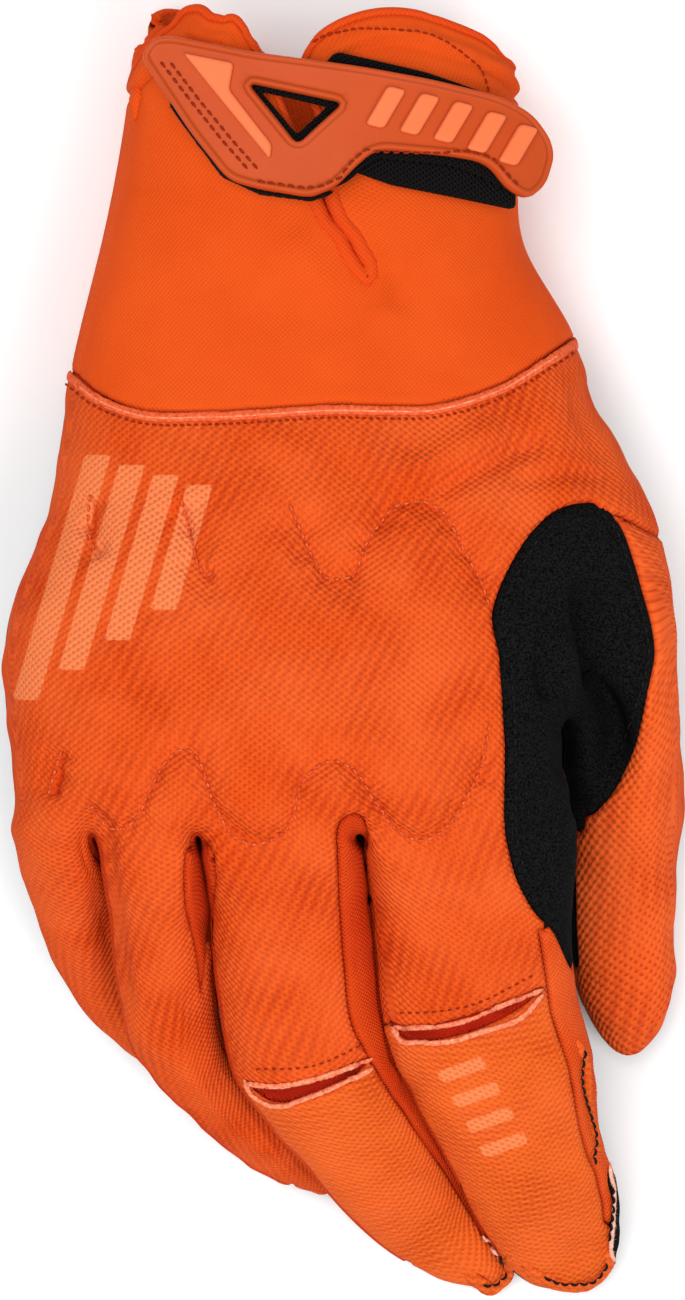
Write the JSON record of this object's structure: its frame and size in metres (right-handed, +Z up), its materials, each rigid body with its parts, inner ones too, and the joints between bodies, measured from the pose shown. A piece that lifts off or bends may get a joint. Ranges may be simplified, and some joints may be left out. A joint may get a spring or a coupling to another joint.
{
  "type": "motocross glove",
  "caption": "Right-hand stuffed riding glove lying palm down, with curled fingers, a flared hand, a slit neoprene cuff and a moulded closing strap.",
  "frame": {"origin": "middle of the base of the bounding box, on the surface that the glove lies on", "axes": "+Y from the fingertips to the cuff's mouth, +X to the thumb's side, +Z up from the surface, out of the back of the hand"},
  "size_m": [0.1176, 0.226, 0.0628],
  "materials": {
    "cuff_neoprene": "fine knit laminated on thin foam, matte",
    "cuff_binding": "folded knit edge, matte",
    "mesh_knit": "bird's-eye mesh knit, matte",
    "stretch_knit": "ribbed stretch knit, matte",
    "black_suede": "synthetic suede, very matte",
    "tab_rubber": "moulded rubber, satin",
    "pale_rubber": "moulded rubber, paler colour, satin",
    "hook_and_loop": "woven hook and loop fabric, matte"
  },
  "bodies": {
    "root": {"cuff_shell": "cuff_neoprene", "cuff_binding": "cuff_binding", "hand_back": "mesh_knit", "index_tip_back": "mesh_knit", "middle_tip_back": "mesh_knit", "thumb_back": "mesh_knit", "flex_insert_index": "stretch_knit", "flex_insert_middle": "stretch_knit", "index_side": "stretch_knit", "fourchette_index_middle": "stretch_knit", "fourchette_middle_ring": "stretch_knit", "fourchette_ring_pinky": "stretch_knit", "palm_panel": "black_suede", "thumb_palm": "black_suede", "web_patch": "black_suede", "loop_patch": "hook_and_loop", "tab_hook_backing": "hook_and_loop", "closure_tab": "tab_rubber", "tab_blade": "pale_rubber", "tab_bar_1": "pale_rubber", "tab_bar_2": "pale_rubber", "tab_bar_3": "pale_rubber", "tab_bar_4": "pale_rubber", "tab_bar_5": "pale_rubber"}
  },
  "joints": []
}
